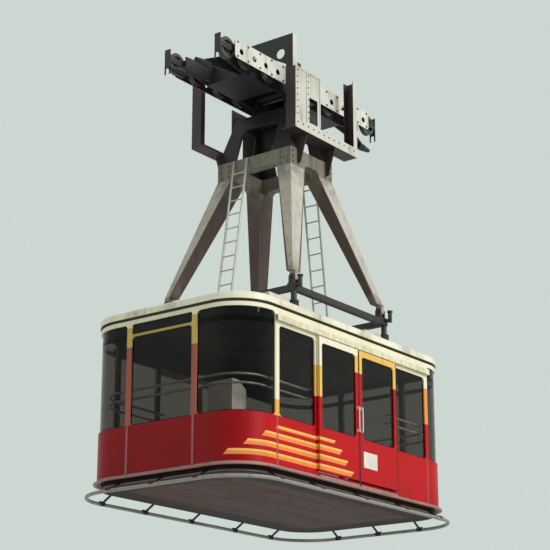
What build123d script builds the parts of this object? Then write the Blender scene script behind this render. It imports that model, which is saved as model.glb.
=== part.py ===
from build123d import *
from math import cos, radians, sin
import os

os.makedirs("parts", exist_ok=True)

# Lengths are in millimetres. The origin lies midway between the two track ropes, at the level of
# their centre lines, above the middle of the cabin. +Y runs along the ropes and +Z is up.

# Cabin
cabin_width = 3040
cabin_length = 5400
corner_radius = 620
cabin_bottom = -6470
wall_height = 2300
wall_thickness = 50
floor_thickness = 90
roof_groove_height = 35
roof_groove_depth = 25
roof_band_height = 115
roof_overhang = 15
roof_crown_height = 35
roof_crown_inset = 170
cut_margin = 50

# Windows and posts
sill_height = 740
window_top = 2050
end_window_top = 2240
transom_height = 35
window_corner = 60
transom_light_corner = 25
end_post_x = 610
end_post_width = 90
side_post_y = 1960
side_post_width = 90
glass_thickness = 8
glass_inset = 21
glass_gap = 0.3

# Doors
doorway_half = 1000
doorway_top = 2070
jamb_width = 60
leaf_thickness = 40
leaf_wall_gap = 6
leaf_meeting_gap = 6
leaf_lap = 30
leaf_floor_gap = 15
leaf_top = 2090
leaf_stile = 85
leaf_sill_height = 740
leaf_window_top = 2000
rail_gap = 15
rail_height = 85
rail_wall = 5
rail_slot = 16
rail_half = 2010
roller_radius = 18
roller_width = 30
roller_clearance = 0.5
roller_stem = 8
roller_from_edge = 150

# Belly pan and guard ring
pan_depth = 90
pan_inset = 70
ring_tube_radius = 27
ring_offset = 140
ring_drop = 190
ring_arm_radius = 18
ring_side_arms = (-2060, -1100, 0, 1100, 2060)
ring_end_arms = (-800, 0, 800)

# Inside the cabin
rail_inset = 110
rail_tube_radius = 17
rail_heights = (1170, 1300)
rail_bracket_radius = 10
rail_post_gap = 20
rail_bracket_set = 25
console_size = (420, 320, 1050)
console_wall = 20
console_back = 120
console_side_gap = 410
console_end_gap = 250

# Hanger
frame_half_x = 1250
frame_half_y = 1200
frame_beam = 90
frame_top = -3590
leg_foot = (115, 195)
leg_head = (270, 370)
foot_height = 240
foot_shift = (35, 50)
foot_base = (130, 160, 30)
foot_pin_height = 130
foot_pin_radius = 22
foot_pin_clearance = 0.3
foot_pin_reach = 18
foot_ear_radius = 52
foot_ear = 28
foot_lug = 70
foot_lug_gap = 1
stub_radius = 45
damper_offset = 75
damper_radius = 32
damper_cap_radius = 44
damper_below = 50
damper_above = 135
damper_arm = (90, 28)
buffer_radius = 75
buffer_height = 150
head_half_x = 730
head_half_y = 560
head_beam_width = 160
head_beam_height = 300
head_top = -1050
head_arch_height = 80
head_arch_corner = 70
neck_top_half_x = 560
neck_top_half_y = 300
neck_shoulder = -220
neck_plate = 30
front_arch = (360, 360, -480, 110)
side_arch = (300, 200, -330, 90)
cheek_outer = 330
cheek_thickness = 40
cheek_foot_half = 200
bearing_radius = 100
pivot_height = 180
pivot_radius = 60
pivot_overhang = 20
running_clearance = 0.05
weld = 1

# Service platforms on the hanger
deck_neck_gap = 8
deck_outer = 960
deck_start = -740
deck_end = 960
deck_level = -840
deck_thickness = 30
toe_height = 130
plate_thickness = 14
guard_end_width = 190
guard_end_depth = 100
guard_end_height = 1300
guard_front_length = 670
guard_front_height = 1010
guard_slot = (-370, -150)
guard_slot_bottom = 150
guard_slot_top = 580
deck_bracket_ys = (-380, 380)
deck_bracket_depth = 380
bracket_foot_drop = 240

# Ladders
ladder_width = 260
ladder_x_foot = -10
ladder_x_head = -250
ladder_rail_radius = 18
ladder_rung_radius = 11
ladder_rung_pitch = 290
ladder_tail = 280
ladder_gap = 1

# Carriage
rope_x = 500
rope_radius = 22.5
wheel_radius = 175
groove_depth = 25
wheel_width = 80
hub_radius = 55
web_thickness = 22
rim_thickness = 28
wheel_ys = (-1920, -1420, -820, -320, 320, 820, 1420, 1920)
axle_radius = 25
rocker_plate = 10
rocker_gap = 5
rocker_pin_height = 250
rocker_boss_radius = 42
rocker_boss_half = 60
rocker_lip = 55
rocker_side = 35
rocker_drop = 50
rocker_belly = 20
axle_reach = 8
web_outer = 385
web_plate = 25
girder_half = 1300
girder_top = 340
girder_bottom = 0
girder_plate = 20
girder_opening_half = 500
wing_half = 1830
wing_top = 300
wing_bottom = 60
spacer_y = 1150
spacer_height = 170
spacer_radius = 45

# Plates outside the wheels
side_plate_inner = 600
side_plate_thickness = 14
side_plate_bottom = 30
side_plate_top = 340
side_plate_corner = 60
side_hole_ys = (740, 1050, 1340, 1670)
side_hole_height = 165
side_hole_radius = 48

# Outriggers
outrigger_reach_x = 750
outrigger_y = (-520, -400)
outrigger_top = 900
outrigger_bottom = -250
outrigger_reach = -150
outrigger_arm = 90
gusset_plate = 20
gusset_set = 30
gusset_foot = 390
gusset_hole_radius = 85
gusset_hole_from_post = 114
gusset_hole_from_arm = 210

# Haul rope ends
haul_x = 260
haul_z = -100
haul_rope_radius = 14.5
socket_start = 2020
socket_length = 320
socket_radius = 62
socket_nose = 34
socket_collar = 120
drop_plate = 24
drop_rope_gap = 10

# End guides for the track ropes
guide_gap = 15
guide_thickness = 14
guide_width = 110
guide_top = 350
guide_bottom = -70
guide_slot = 34

# Low hoods and a vent on one side of the roof. How far the centre lies inside the line of the
# corner buffers and beyond the front (-1) or rear (1) pair, then that end, width, length, height
roof_hoods = (
    (150, 360, -1, 380, 540, 150),
    (100, -350, 1, 320, 500, 125),
    (50, -800, -1, 120, 160, 90),
)
hood_slope = 30
hood_corner = 40
hood_edge = 12

cabin_top = cabin_bottom + wall_height + roof_groove_height + roof_band_height
crown_top = cabin_top + roof_crown_height
wheel_height = rope_radius + wheel_radius - groove_depth
leaf_inner = cabin_width / 2 + leaf_wall_gap
leaf_middle = leaf_inner + leaf_thickness / 2


def block(x_range, y_range, z_range):
    """Box between three pairs of coordinates."""
    spans = [sorted(pair) for pair in (x_range, y_range, z_range)]
    sizes = [high - low for low, high in spans]
    centre = [(low + high) / 2 for low, high in spans]
    return Pos(*centre) * Box(*sizes)


def rod(start, end, radius):
    """Round bar between two points."""
    run = Vector(*end) - Vector(*start)
    return extrude(Plane(origin=start, z_dir=run) * Circle(radius), run.length)


def tube_along(path, radius):
    """Round bar that follows a path of straight runs and arcs."""
    bar = None
    for edge in path.edges():
        if edge.geom_type == GeomType.LINE:
            run = rod(tuple(edge @ 0), tuple(edge @ 1), radius)
        else:
            run = sweep(Plane(origin=edge @ 0, z_dir=edge % 0) * Circle(radius), path=edge)
        bar = run if bar is None else bar + run
    return bar


def plan(inset):
    """Rounded outline of the cabin in plan, drawn in by the inset."""
    return RectangleRounded(cabin_width - 2 * inset, cabin_length - 2 * inset, corner_radius - inset)


def slab(inset, low, high):
    """Slab of the cabin's outline between two heights above the cabin's bottom."""
    return Pos(0, 0, cabin_bottom + low) * extrude(plan(inset), high - low)


def at_height(low, high):
    return (cabin_bottom + low, cabin_bottom + high)


def turned(shape):
    """The same piece on the other side, half a turn about the vertical."""
    return Rot(0, 0, 180) * shape


def write(node, shape):
    export_step(shape, f"parts/{node}.step")


# Cabin walls
def corner_window(side_x, margin):
    """Opening that wraps round a front corner, from the end post to the side post."""
    inner_x = end_post_x + end_post_width / 2 + margin
    outer_y = -(side_post_y + side_post_width / 2) - margin
    opening = block(
        (inner_x, cabin_width),
        (-cabin_length, outer_y),
        at_height(sill_height + margin, end_window_top - margin),
    )
    radius = window_corner - margin
    opening = fillet(opening.edges().filter_by(Axis.Y).group_by(Axis.X)[0], radius)
    opening = fillet(opening.edges().filter_by(Axis.X).group_by(Axis.Y)[-1], radius)
    return opening if side_x > 0 else mirror(opening, Plane.YZ)


def flat_window(axis, low, high, bottom, top, radius, depth_range):
    """Opening with rounded corners in a flat wall; the axis is the way through the wall."""
    profile = RectangleRounded(high - low, top - bottom, radius)
    middle = (low + high) / 2
    height = cabin_bottom + (bottom + top) / 2
    depth = depth_range[1] - depth_range[0]
    if axis == "x":
        face = Plane(origin=(depth_range[0], middle, height), x_dir=(0, 1, 0), z_dir=(1, 0, 0))
    else:
        face = Plane(origin=(middle, depth_range[0], height), x_dir=(-1, 0, 0), z_dir=(0, 1, 0))
    return extrude(face * profile, depth)


def end_openings(margin):
    """The openings of the front end wall: the middle window, the light over it and the corners."""
    half = end_post_x - end_post_width / 2 - margin
    depth_range = (-cabin_length / 2 - cut_margin, -cabin_length / 2 + wall_thickness + cut_margin)
    middle = flat_window(
        "y", -half, half, sill_height + margin, window_top - margin, window_corner - margin, depth_range,
    )
    light = flat_window(
        "y", -half, half, window_top + transom_height + margin, end_window_top - margin,
        transom_light_corner - margin, depth_range,
    )
    return [middle, light, corner_window(1, margin), corner_window(-1, margin)]


def side_window_spans(margin):
    inner = doorway_half + jamb_width + margin
    outer = side_post_y - side_post_width / 2 - margin
    return [(-outer, -inner), (inner, outer)]


def side_openings(margin):
    """The fixed windows of the right-hand wall."""
    return [
        flat_window(
            "x", low, high, sill_height + margin, window_top - margin,
            window_corner - margin,
            (cabin_width / 2 - wall_thickness - cut_margin, cabin_width / 2 + cut_margin),
        )
        for low, high in side_window_spans(margin)
    ]


shell = slab(0, 0, wall_height) - slab(wall_thickness, 0, wall_height)
pane_shell = slab(glass_inset, 0, wall_height) - slab(glass_inset + glass_thickness, 0, wall_height)
end_zone = block((-cabin_width, cabin_width), (-cabin_length, -side_post_y), at_height(-10, wall_height))
side_zone = block((1, cabin_width), (-side_post_y, side_post_y), at_height(-10, wall_height))

front_wall = shell & end_zone
for opening in end_openings(0):
    front_wall -= opening
front_glass = [pane_shell & opening for opening in end_openings(glass_gap)]

right_wall = shell & side_zone
for opening in side_openings(0):
    right_wall -= opening
right_wall -= block(
    (1, cabin_width), (-doorway_half, doorway_half), at_height(floor_thickness, doorway_top)
)
right_glass = [pane_shell & opening for opening in side_openings(glass_gap)]

write("wall_front", front_wall)
write("wall_rear", turned(front_wall))
write("wall_right", right_wall)
write("wall_left", turned(right_wall))
write("glass_ends", Compound(front_glass + [turned(pane) for pane in front_glass]))
write("glass_sides", Compound(right_glass + [turned(pane) for pane in right_glass]))

# Floor, belly pan and roof
floor = slab(wall_thickness, 0, floor_thickness)
pan = slab(pan_inset, -pan_depth, 0)
pan = chamfer(pan.faces().sort_by(Axis.Z)[0].edges(), 30)
groove = slab(roof_groove_depth, wall_height, wall_height + roof_groove_height)
band_bottom = wall_height + roof_groove_height
band = slab(-roof_overhang, band_bottom, band_bottom + roof_band_height)
band = chamfer(band.faces().sort_by(Axis.Z)[-1].edges(), 25)
crown = slab(roof_crown_inset, band_bottom + roof_band_height - 1, crown_top - cabin_bottom)
crown = chamfer(crown.faces().sort_by(Axis.Z)[-1].edges(), 20)
write("floor", floor)
write("belly_pan", pan)
write("roof", groove + band + crown)

hoods = []
for inward, beyond, end, width, length, height in roof_hoods:
    x, y = frame_half_x - inward, end * (frame_half_y + beyond)
    low = Pos(x, y, crown_top) * RectangleRounded(width, length, hood_corner)
    high = Pos(x, y, crown_top + height) * RectangleRounded(
        width - 2 * hood_slope, length - 2 * hood_slope, hood_corner - hood_slope / 2)
    hood = loft([low, high])
    hoods.append(chamfer(hood.faces().sort_by(Axis.Z)[-1].edges(), hood_edge))
write("roof_hoods", Compound(hoods + [turned(hood) for hood in hoods]))

# Guard ring below the cabin
ring_level = cabin_bottom - ring_drop
ring_path = Pos(0, 0, ring_level) * plan(-ring_offset).wire()
guard_ring = tube_along(ring_path, ring_tube_radius)
arm_top = cabin_bottom - pan_depth / 2
for side in (-1, 1):
    for y in ring_side_arms:
        foot = (side * (cabin_width / 2 + ring_offset), y, ring_level)
        guard_ring += rod((side * (cabin_width / 2 - pan_inset - 20), y, arm_top), foot, ring_arm_radius)
    for x in ring_end_arms:
        foot = (x, side * (cabin_length / 2 + ring_offset), ring_level)
        guard_ring += rod((x, side * (cabin_length / 2 - pan_inset - 20), arm_top), foot, ring_arm_radius)
write("guard_ring", guard_ring - pan)

# Handrails inside the ends, and the attendant's console
rail_x = cabin_width / 2 - wall_thickness - rail_inset
rail_y = cabin_length / 2 - wall_thickness - rail_inset
rail_bend = corner_radius - wall_thickness - rail_inset
wall_face_x = cabin_width / 2 - wall_thickness
wall_face_y = cabin_length / 2 - wall_thickness
rail_end = doorway_half + jamb_width / 2


def rail_bracket(x, y, z):
    """Short bar from a handrail to the wall behind it, the end wall or else the right-hand wall."""
    foot = (wall_face_x, y, z) if x == rail_x else (x, -wall_face_y, z)
    return rod((x, y, z), foot, rail_bracket_radius)


front_rails = []
for height in rail_heights:
    z = cabin_bottom + height
    middle_end = end_post_x - rail_post_gap
    corner_end = end_post_x + rail_post_gap
    middle_rail = rod((-middle_end, -rail_y, z), (middle_end, -rail_y, z), rail_tube_radius)
    for side in (-1, 1):
        middle_rail += rail_bracket(side * (middle_end - rail_bracket_set), -rail_y, z)
    route = FilletPolyline(
        (corner_end, -rail_y, z), (rail_x, -rail_y, z), (rail_x, -rail_end, z), radius=rail_bend)
    corner_rail = tube_along(route, rail_tube_radius)
    corner_rail += rail_bracket(corner_end + rail_bracket_set, -rail_y, z)
    for y in (-rail_end - rail_bracket_set, -side_post_y):
        corner_rail += rail_bracket(rail_x, y, z)
    front_rails += [middle_rail, corner_rail, mirror(corner_rail, Plane.YZ)]
write("handrails", Compound(front_rails + [turned(rail) for rail in front_rails]))

console_profile = make_face(Polyline(
    (0, 0), (console_size[1], 0), (console_size[1], console_size[2]),
    (console_size[1] * 0.45, console_size[2] + console_back), (0, console_size[2] + console_back),
    close=True,
))
console_x = wall_face_x - console_side_gap - console_size[0]
console_y = -wall_face_y + console_end_gap
console_plane = Plane(
    origin=(console_x, console_y, cabin_bottom + floor_thickness), x_dir=(0, 1, 0), z_dir=(1, 0, 0),
)
console = fillet(extrude(console_plane * console_profile, console_size[0]).edges().filter_by(Axis.X), 18)
console -= block(
    (console_x + console_wall, console_x + console_size[0] - console_wall),
    (console_y + console_wall, console_y + 2 * console_size[1]),
    at_height(floor_thickness - 1, floor_thickness + console_size[2] - 2 * console_wall),
)
write("console", console)

# Sliding doors: the forward leaf of the right-hand side, and its mirror image
leaf_start = -doorway_half - leaf_lap
leaf_stop = -leaf_meeting_gap / 2
leaf_bottom = floor_thickness + leaf_floor_gap
leaf_range = (leaf_inner, leaf_inner + leaf_thickness)
leaf = block(leaf_range, (leaf_start, leaf_stop), at_height(leaf_bottom, leaf_top))


def leaf_opening(margin):
    return flat_window(
        "x", leaf_start + leaf_stile + margin, leaf_stop - leaf_stile - margin,
        leaf_sill_height + margin, leaf_window_top - margin, window_corner - margin,
        (leaf_inner - 20, leaf_inner + leaf_thickness + 20),
    )


leaf -= leaf_opening(0)
pane_slice = block(
    (leaf_middle - glass_thickness / 2, leaf_middle + glass_thickness / 2),
    (leaf_start, leaf_stop), at_height(leaf_bottom, leaf_top),
)
leaf_glass = pane_slice & leaf_opening(glass_gap)
rail_bottom = cabin_bottom + leaf_top + rail_gap
roller_z = rail_bottom + rail_wall + roller_clearance + roller_radius
for y in (leaf_start + roller_from_edge, leaf_stop - roller_from_edge):
    leaf += block(
        (leaf_middle - roller_stem / 2, leaf_middle + roller_stem / 2),
        (y - roller_radius, y + roller_radius), (cabin_bottom + leaf_top - 5, roller_z),
    )
    leaf += rod((leaf_middle - roller_width / 2, y, roller_z), (leaf_middle + roller_width / 2, y, roller_z),
                roller_radius)
rear_leaf = mirror(leaf, Plane.XZ)
rear_leaf_glass = mirror(leaf_glass, Plane.XZ)
write("door_right_front", leaf)
write("door_glass_right_front", leaf_glass)
write("door_right_rear", rear_leaf)
write("door_glass_right_rear", rear_leaf_glass)
write("door_left_rear", turned(leaf))
write("door_glass_left_rear", turned(leaf_glass))
write("door_left_front", turned(rear_leaf))
write("door_glass_left_front", turned(rear_leaf_glass))

rail_outer_x = leaf_middle + (leaf_middle - cabin_width / 2)
door_rail = block(
    (cabin_width / 2, rail_outer_x), (-rail_half, rail_half), (rail_bottom, rail_bottom + rail_height))
door_rail -= block(
    (cabin_width / 2 + rail_wall, rail_outer_x - rail_wall), (-rail_half, rail_half),
    (rail_bottom + rail_wall, rail_bottom + rail_height - rail_wall),
)
door_rail -= block(
    (leaf_middle - rail_slot / 2, leaf_middle + rail_slot / 2), (-rail_half, rail_half),
    (rail_bottom - 1, rail_bottom + rail_wall + 1),
)
write("door_rails", Compound([door_rail, turned(door_rail)]))

# Frame on the roof that carries the hanger's four feet
frame_bottom = frame_top - frame_beam
outer = frame_beam / 2
roof_frame = block(
    (-frame_half_x - outer, frame_half_x + outer), (-frame_half_y - outer, frame_half_y + outer),
    (frame_bottom, frame_top),
) - block(
    (-frame_half_x + outer, frame_half_x - outer), (-frame_half_y + outer, frame_half_y - outer),
    (frame_bottom, frame_top),
)
corners = [(sx * frame_half_x, sy * frame_half_y) for sx in (-1, 1) for sy in (-1, 1)]
buffer_top = crown_top + buffer_height
buffers = []
for x, y in corners:
    roof_frame += rod((x, y, buffer_top), (x, y, frame_bottom + 10), stub_radius)
    buffers.append(rod((x, y, crown_top), (x, y, buffer_top), buffer_radius))
    side = 1 if x > 0 else -1
    damper_x = x + side * (outer + damper_offset)
    roof_frame += block((x, damper_x), (y - damper_arm[0] / 2, y + damper_arm[0] / 2),
                        (frame_top - damper_arm[1], frame_top))
    roof_frame += rod((damper_x, y, frame_top - damper_below), (damper_x, y, frame_top + damper_above),
                      damper_radius)
    roof_frame += rod((damper_x, y, frame_top + damper_above - damper_arm[1]),
                      (damper_x, y, frame_top + damper_above), damper_cap_radius)
write("roof_frame", roof_frame)
write("roof_buffers", Compound(buffers))

# Four tapered legs, each pinned to a foot on the roof frame
head_bottom = head_top - head_beam_height
leg_head_x = head_half_x - leg_head[0] / 2
leg_head_y = head_half_y - leg_head[1] / 2
leg_bottom = frame_top + foot_height
leg_lean = foot_height / (head_bottom - frame_top)
leg_foot_x = frame_half_x + (leg_head_x - frame_half_x) * leg_lean
leg_foot_y = frame_half_y + (leg_head_y - frame_half_y) * leg_lean
foot_x = frame_half_x - foot_shift[0]
foot_y = frame_half_y - foot_shift[1]
foot_pin_z = frame_top + foot_pin_height
ear_offset = foot_lug / 2 + foot_lug_gap


def foot_plate(low_y, high_y, low_z, high_z):
    """Upright plate that ends in a half round about the foot's pin, from low_y to high_y."""
    outline = Pos(foot_x, (low_z + high_z) / 2) * Rectangle(2 * foot_ear_radius, high_z - low_z)
    outline += Pos(foot_x, foot_pin_z) * Circle(foot_ear_radius)
    face = Plane(origin=(0, foot_y + low_y, 0), x_dir=(1, 0, 0), z_dir=(0, -1, 0))
    return extrude(face * outline, low_y - high_y)


base_top = frame_top + foot_base[2]
pin_half = ear_offset + foot_ear + foot_pin_reach
foot = block((foot_x - foot_base[0] / 2, foot_x + foot_base[0] / 2),
             (foot_y - foot_base[1] / 2, foot_y + foot_base[1] / 2), (frame_top, base_top))
foot += foot_plate(ear_offset, ear_offset + foot_ear, base_top - weld, foot_pin_z)
foot += foot_plate(-ear_offset - foot_ear, -ear_offset, base_top - weld, foot_pin_z)
foot += rod(
    (foot_x, foot_y - pin_half, foot_pin_z), (foot_x, foot_y + pin_half, foot_pin_z), foot_pin_radius)
leg = loft([
    Pos(leg_foot_x, leg_foot_y, leg_bottom) * Rectangle(*leg_foot),
    Pos(leg_head_x, leg_head_y, head_bottom) * Rectangle(*leg_head),
])
leg += foot_plate(-foot_lug / 2, foot_lug / 2, foot_pin_z, leg_bottom + weld)
leg -= rod((foot_x, foot_y - foot_lug, foot_pin_z), (foot_x, foot_y + foot_lug, foot_pin_z),
           foot_pin_radius + foot_pin_clearance)


def at_four_corners(shape):
    """The piece and its copies at the other three corners of the hanger."""
    pair = [shape, mirror(shape, Plane.XZ)]
    return Compound(pair + [mirror(piece, Plane.YZ) for piece in pair])


write("hanger_legs", at_four_corners(leg))
write("leg_feet", at_four_corners(foot))

# Head frame with shallow arches in its beams between the legs
head_frame = block((-head_half_x, head_half_x), (-head_half_y, head_half_y), (head_bottom, head_top))
head_frame -= block(
    (-head_half_x + head_beam_width, head_half_x - head_beam_width),
    (-head_half_y + head_beam_width, head_half_y - head_beam_width), (head_bottom, head_top),
)
arch_x = head_half_x - leg_head[0]
arch_y = head_half_y - leg_head[1]
arch_levels = (head_bottom - head_arch_height, head_bottom + head_arch_height)
front_cut = block((-arch_x, arch_x), (-head_half_y - cut_margin, head_half_y + cut_margin), arch_levels)
side_cut = block((-head_half_x - cut_margin, head_half_x + cut_margin), (-arch_y, arch_y), arch_levels)
front_cut = fillet(front_cut.edges().filter_by(Axis.Y).group_by(Axis.Z)[-1], head_arch_corner)
side_cut = fillet(side_cut.edges().filter_by(Axis.X).group_by(Axis.Z)[-1], head_arch_corner)
write("head_frame", head_frame - front_cut - side_cut)


# Neck: a tapered box of plates with an arch in each side, and two cheeks that hold the bearing
def neck_half_x(z):
    return head_half_x + (neck_top_half_x - head_half_x) * (z - head_top) / (neck_shoulder - head_top)


def neck_body(inset):
    """Tapered box from the head frame up to the shoulder, drawn in by the inset at its sides and top."""
    low = Pos(0, 0, head_top) * Rectangle(2 * (head_half_x - inset), 2 * (head_half_y - inset))
    high = Pos(0, 0, neck_shoulder - inset) * Rectangle(
        2 * (neck_top_half_x - inset), 2 * (neck_top_half_y - inset))
    return loft([low, high])


def neck_arch(face, arch):
    """Cut with rounded top corners through both opposite sides of the neck."""
    foot_half, top_half, top, corner = arch
    outline = make_face(Polyline(
        (-foot_half, head_top - cut_margin), (foot_half, head_top - cut_margin), (top_half, top),
        (-top_half, top), close=True,
    ))
    outline = fillet(outline.vertices().group_by(Axis.Y)[-1], corner)
    return extrude(face * outline, head_half_x + cut_margin, both=True)


neck = neck_body(0) - neck_body(neck_plate)
neck -= neck_arch(Plane(origin=(0, 0, 0), x_dir=(1, 0, 0), z_dir=(0, -1, 0)), front_arch)
neck -= neck_arch(Plane(origin=(0, 0, 0), x_dir=(0, 1, 0), z_dir=(1, 0, 0)), side_arch)
cheek_outline = make_face(Polyline(
    (-cheek_foot_half, neck_shoulder - weld), (cheek_foot_half, neck_shoulder - weld),
    (bearing_radius, pivot_height), (-bearing_radius, pivot_height), close=True,
))
cheek_plane = Plane(origin=(cheek_outer - cheek_thickness, 0, 0), x_dir=(0, 1, 0), z_dir=(1, 0, 0))
cheek = extrude(cheek_plane * cheek_outline, cheek_thickness)
neck += [cheek, mirror(cheek, Plane.YZ)]
neck += rod((-cheek_outer, 0, pivot_height), (cheek_outer, 0, pivot_height), bearing_radius)
neck -= rod(
    (-head_half_x, 0, pivot_height), (head_half_x, 0, pivot_height), pivot_radius + running_clearance)
write("neck", neck)

# Service platforms beside the neck
deck_inner = neck_half_x(deck_level) + deck_neck_gap
deck = block((deck_inner, deck_outer), (deck_start, deck_end), (deck_level, deck_level + deck_thickness))
deck_surface = deck_level + deck_thickness
deck += block((deck_outer - plate_thickness, deck_outer), (deck_start, deck_end),
              (deck_surface - weld, deck_surface + toe_height))
deck += block((deck_outer - guard_end_width, deck_outer), (deck_end - guard_end_depth, deck_end),
              (deck_surface - weld, deck_surface + guard_end_height))
deck -= block((deck_outer - guard_end_width + plate_thickness, deck_outer - plate_thickness),
              (deck_end - guard_end_depth - cut_margin, deck_end - plate_thickness),
              (deck_surface, deck_surface + guard_end_height + cut_margin))
deck += block((deck_outer - plate_thickness, deck_outer), (deck_start, deck_start + guard_front_length),
              (deck_surface - weld, deck_surface + guard_front_height))
deck += block((deck_outer - guard_end_width, deck_outer), (deck_start, deck_start + plate_thickness),
              (deck_surface - weld, deck_surface + guard_front_height))
deck -= block((deck_outer - 2 * plate_thickness, deck_outer + cut_margin), guard_slot,
              (deck_surface + guard_slot_bottom, deck_surface + guard_slot_top))
bracket = make_face(Polyline(
    (head_half_x, head_top - 20), (head_half_x, head_top - bracket_foot_drop),
    (head_half_x + 60, head_top - bracket_foot_drop),
    (deck_outer - 40, deck_level), (head_half_x - 10, deck_level), (head_half_x - 10, head_top + 60),
    (head_half_x, head_top + 60), close=True,
))
for y in deck_bracket_ys:
    bracket_plane = Plane(origin=(0, y - plate_thickness / 2, 0), x_dir=(1, 0, 0), z_dir=(0, -1, 0))
    deck += extrude(bracket_plane * bracket, -plate_thickness)
write("platforms", Compound([deck, turned(deck)]))

# Ladders between the roof frame and the head frame
ladder_seat = Vector(ladder_x_foot, -frame_half_y - outer - ladder_rail_radius - ladder_gap, frame_top)
ladder_head = Vector(ladder_x_head, -head_half_y - ladder_rail_radius - ladder_gap, head_top - 20)
ladder_foot = ladder_seat - (ladder_head - ladder_seat).normalized() * ladder_tail
climb = ladder_head - ladder_foot
rungs = int(climb.length // ladder_rung_pitch)
ladder = None
for side in (-1, 1):
    shift = Vector(side * ladder_width / 2, 0, 0)
    rail = rod(tuple(ladder_foot + shift), tuple(ladder_head + shift), ladder_rail_radius)
    ladder = rail if ladder is None else ladder + rail
for step in range(1, rungs + 1):
    middle = ladder_foot + climb * (step / (rungs + 1))
    shift = Vector(ladder_width / 2, 0, 0)
    ladder += rod(tuple(middle - shift), tuple(middle + shift), ladder_rung_radius)
write("ladders", Compound([ladder, turned(ladder)]))

# Carriage frame: a box girder between the track ropes, open below where the neck swings
web_inner = web_outer - web_plate
web_face = Plane(origin=(web_inner, 0, 0), x_dir=(0, 1, 0), z_dir=(1, 0, 0))
web_outline = make_face(Polyline(
    (-wing_half, wing_bottom), (-girder_half, girder_bottom), (girder_half, girder_bottom),
    (wing_half, wing_bottom), (wing_half, wing_top), (girder_half, girder_top),
    (-girder_half, girder_top), (-wing_half, wing_top), close=True,
))
web = extrude(web_face * web_outline, web_plate)
frame = web + mirror(web, Plane.YZ)
across = (-web_inner, web_inner)
frame += block(across, (-girder_half, girder_half), (girder_top - girder_plate, girder_top))
for side in (-1, 1):
    frame += block(
        across, (side * girder_half, side * (girder_half - girder_plate)), (girder_bottom, girder_top))
    frame += block(across, (side * girder_opening_half, side * girder_half),
                   (girder_bottom, girder_bottom + girder_plate))
    for y in (-spacer_y, spacer_y):
        frame += rod((side * web_inner, y, spacer_height), (side * side_plate_inner, y, spacer_height),
                     spacer_radius)
side_plate_outer = side_plate_inner + side_plate_thickness
pin_half_length = side_plate_outer + pivot_overhang
pivot_pin = rod((-pin_half_length, 0, pivot_height), (pin_half_length, 0, pivot_height), pivot_radius)
write("carriage_frame", frame - pivot_pin)
write("pivot_pin", pivot_pin)

# Light plates outside the wheels, with round holes
plate_face = Plane(origin=(side_plate_inner, 0, 0), x_dir=(0, 1, 0), z_dir=(1, 0, 0))
plate_outline = Pos(0, (side_plate_bottom + side_plate_top) / 2) * RectangleRounded(
    2 * wing_half, side_plate_top - side_plate_bottom, side_plate_corner)
for y in side_hole_ys:
    for hole_y in (-y, y):
        plate_outline -= Pos(hole_y, side_hole_height) * Circle(side_hole_radius)
side_plate = extrude(plate_face * plate_outline, side_plate_thickness) - pivot_pin
write("side_plates", Compound([side_plate, turned(side_plate)]))

# Rockers, each with two wheels' axles and its own pin between the web and the side plate
plate_inner = wheel_width / 2 + rocker_gap
plate_outer = plate_inner + rocker_plate
guide_y = wheel_ys[-1] + wheel_radius + guide_gap


def rocker(y_near, y_far, outer_end):
    """Pair of plates over one rope, from the inner wheel to the outer one and on to the outer end."""
    middle = (y_near + y_far) / 2
    boss_top = rocker_pin_height + rocker_boss_radius
    outline = Polyline(
        (y_near - rocker_lip, wheel_height - rocker_side),
        (y_near - rocker_side, wheel_height + rocker_drop),
        (middle - rocker_boss_half, boss_top), (middle + rocker_boss_half, boss_top),
        (y_far + rocker_side, wheel_height + rocker_drop), (y_far + rocker_lip, wheel_height - rocker_side),
        (y_far + rocker_belly, wheel_height - rocker_drop), (middle, wheel_height + rocker_belly),
        (y_near - rocker_belly, wheel_height - rocker_drop), close=True,
    )
    plate_face = make_face(outline)
    if outer_end > y_far:
        arm = Rectangle(outer_end - y_far, 2 * rocker_side)
        plate_face += Pos((y_far + outer_end) / 2, wheel_height) * arm
    assembly = None
    for offset in (-plate_outer, plate_inner):
        face = Plane(origin=(rope_x + offset, 0, 0), x_dir=(0, 1, 0), z_dir=(1, 0, 0))
        plate = extrude(face * plate_face, rocker_plate)
        assembly = plate if assembly is None else assembly + plate
    reach = plate_outer + axle_reach
    for y in (y_near, y_far):
        assembly += rod((rope_x - reach, y, wheel_height), (rope_x + reach, y, wheel_height), axle_radius)
    return assembly + rod(
        (web_outer, middle, rocker_pin_height), (side_plate_inner, middle, rocker_pin_height), axle_radius)


inner_rocker = rocker(wheel_ys[4], wheel_ys[5], wheel_ys[5])
outer_rocker = rocker(wheel_ys[6], wheel_ys[7], guide_y)
quarter = [inner_rocker, outer_rocker]
right_rockers = quarter + [mirror(piece, Plane.XZ) for piece in quarter]
write("rockers", Compound(right_rockers + [turned(piece) for piece in right_rockers]))

# Guides with a slot for the track rope, on the ends of the outer rockers
guide = block((rope_x - guide_width / 2, rope_x + guide_width / 2), (guide_y, guide_y + guide_thickness),
              (guide_bottom, guide_top))
guide -= block((rope_x - guide_slot, rope_x + guide_slot),
               (guide_y - weld, guide_y + guide_thickness + weld), (guide_bottom - weld, guide_slot))
right_guides = [guide, mirror(guide, Plane.XZ)]
write("rope_guides", Compound(right_guides + [turned(piece) for piece in right_guides]))

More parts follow.
